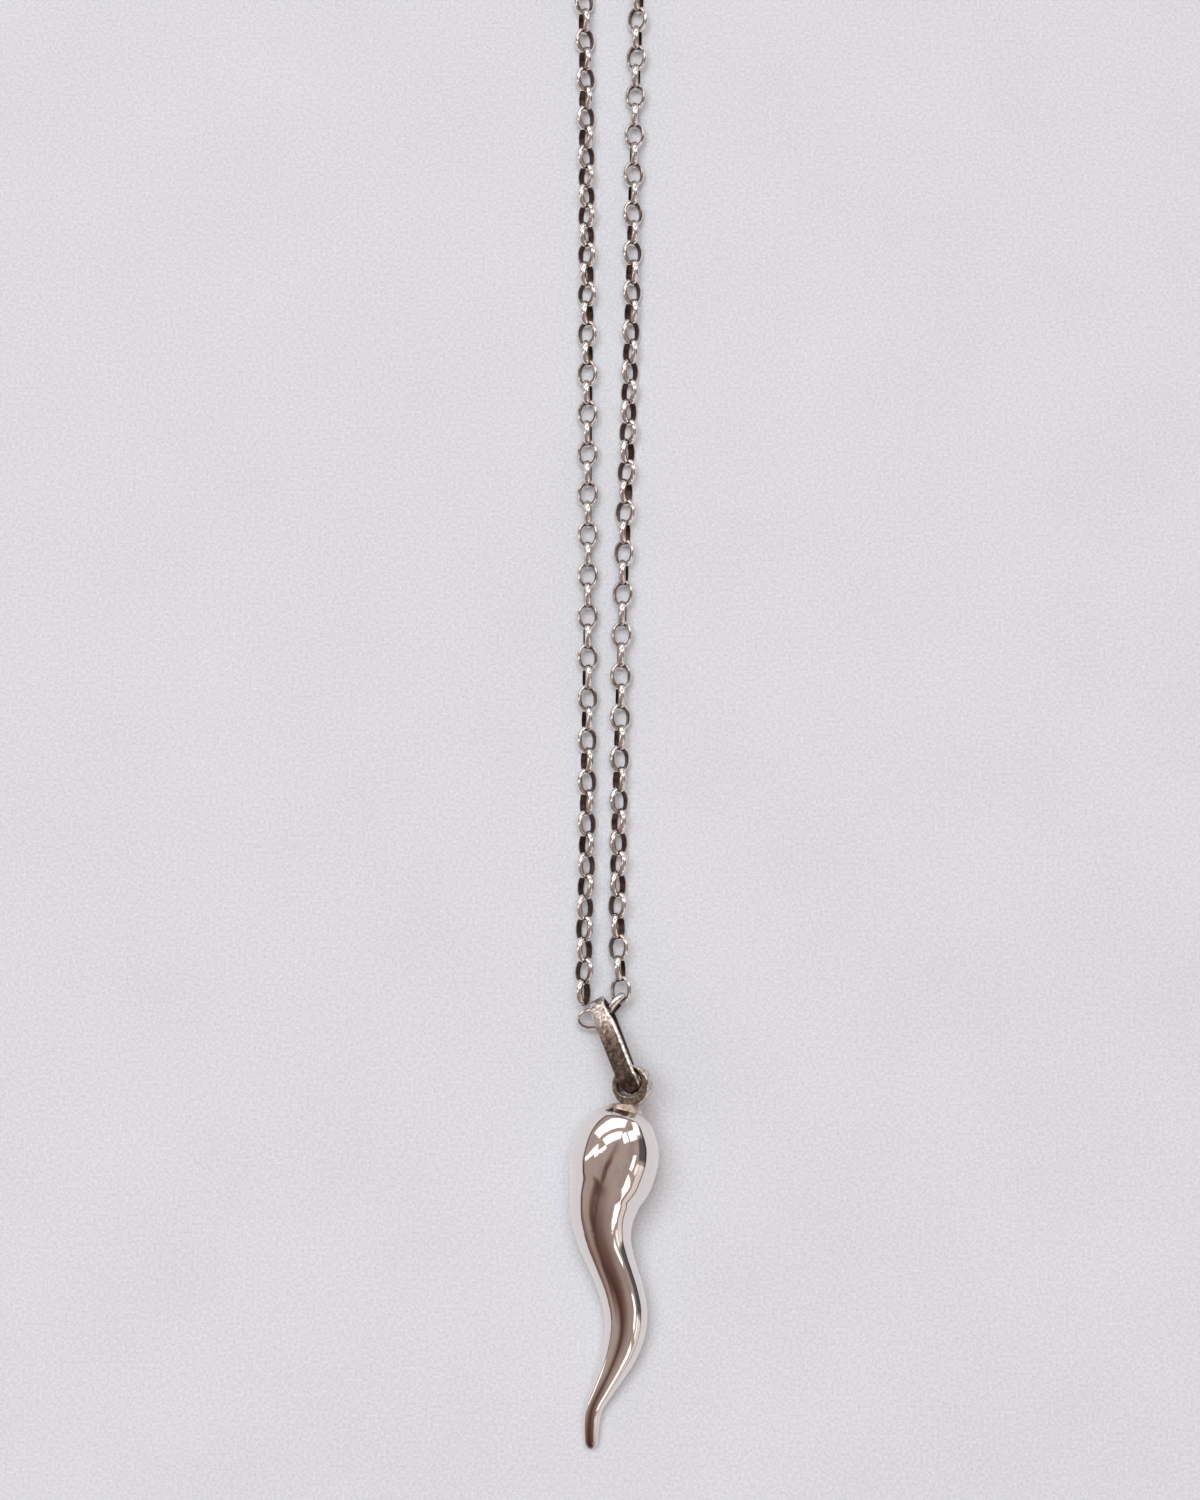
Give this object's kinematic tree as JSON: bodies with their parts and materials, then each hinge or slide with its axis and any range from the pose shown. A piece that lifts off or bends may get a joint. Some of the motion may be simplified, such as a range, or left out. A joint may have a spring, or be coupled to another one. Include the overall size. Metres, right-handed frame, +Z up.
{
  "type": "cornicello horn pendant necklace",
  "caption": "Curved horn charm in polished silver with a soldered ring, hung by a long strip bail on an oval belcher link neck chain, laid out flat.",
  "frame": {"origin": "on the table, at the middle of the laid-out necklace's length and width", "axes": "+X across the strands, +Y from the horn's tip to the clasp, +Z up from the table"},
  "size_m": [0.0624, 0.2529, 0.0094],
  "materials": {
    "polished_silver": "mirror polished silver with fine scratches and brown tarnish at the collar and in the ring",
    "tarnished_silver": "worn silver strip, scratched, grey-brown, darkest near the ring, bright edges",
    "chain_silver": "bright silver links with dark tarnish on their inner faces",
    "clasp_silver": "plain silver wire"
  },
  "bodies": {
    "root": {"horn": "polished_silver", "bail": "tarnished_silver", "chain_left": "chain_silver", "chain_right": "chain_silver", "clasp": "clasp_silver"}
  },
  "joints": []
}
